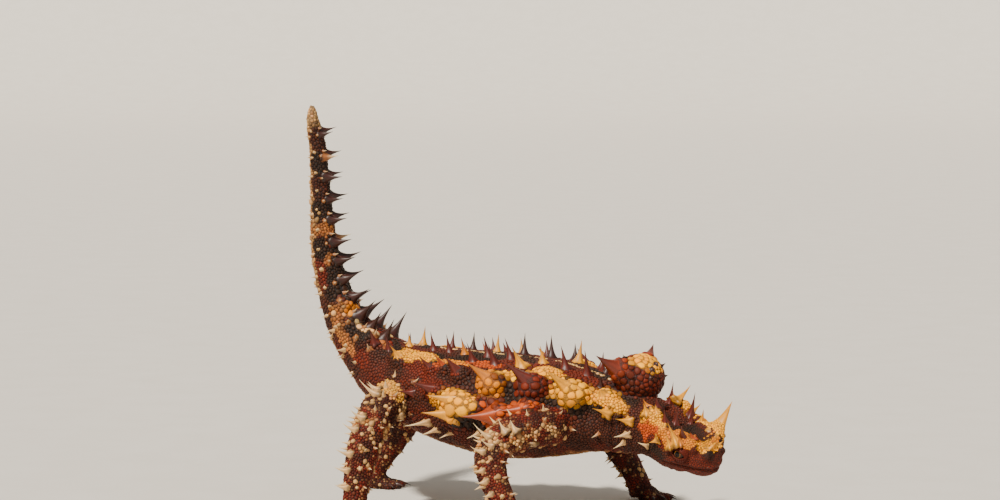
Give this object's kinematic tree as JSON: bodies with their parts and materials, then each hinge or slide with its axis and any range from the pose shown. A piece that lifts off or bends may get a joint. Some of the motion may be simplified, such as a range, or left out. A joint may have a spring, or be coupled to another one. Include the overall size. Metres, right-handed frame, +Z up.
{
  "type": "thorny devil",
  "caption": "Life-size still thorny devil lizard, standing with its tail raised and head lowered, covered in conical thorns, with a knob behind the head.",
  "frame": {"origin": "on the floor below the middle of the bounding box, at the level of the soles", "axes": "+X forwards at the hips, +Y to the animal's left, +Z up"},
  "size_m": [0.1088, 0.0912, 0.1037],
  "materials": {
    "tail_skin": "dry scaly hide, near-black brown with cream and russet bumps",
    "body_skin": "dry scaly hide in patches of ochre yellow, russet and dark brown",
    "limb_skin": "dry scaly hide, brown and russet with cream bumps",
    "face_skin": "dry fine-scaled hide, russet with ochre patches",
    "knob_skin": "dry coarse-scaled hide, dark brown with an ochre top",
    "horn": "horny scale, satin, ochre with a brown tip",
    "eye": "wet dark brown"
  },
  "bodies": {
    "root": {"tail_tip": "tail_skin", "tail_middle": "tail_skin", "tail_base": "tail_skin", "hips": "body_skin", "belly": "body_skin", "chest": "body_skin", "neck": "body_skin", "upper_arm_right": "limb_skin", "upper_arm_left": "limb_skin", "forearm_right": "limb_skin", "forearm_left": "limb_skin", "forefoot_right": "limb_skin", "forefoot_left": "limb_skin", "thigh_right": "limb_skin", "thigh_left": "limb_skin", "shank_right": "limb_skin", "shank_left": "limb_skin", "hindfoot_right": "limb_skin", "hindfoot_left": "limb_skin", "head": "face_skin", "lower_jaw": "face_skin", "nuchal_knob": "knob_skin", "brow_horn_right": "horn", "brow_horn_left": "horn", "knob_horn_right": "horn", "knob_horn_left": "horn", "eye_right": "eye", "eye_left": "eye"}
  },
  "joints": []
}
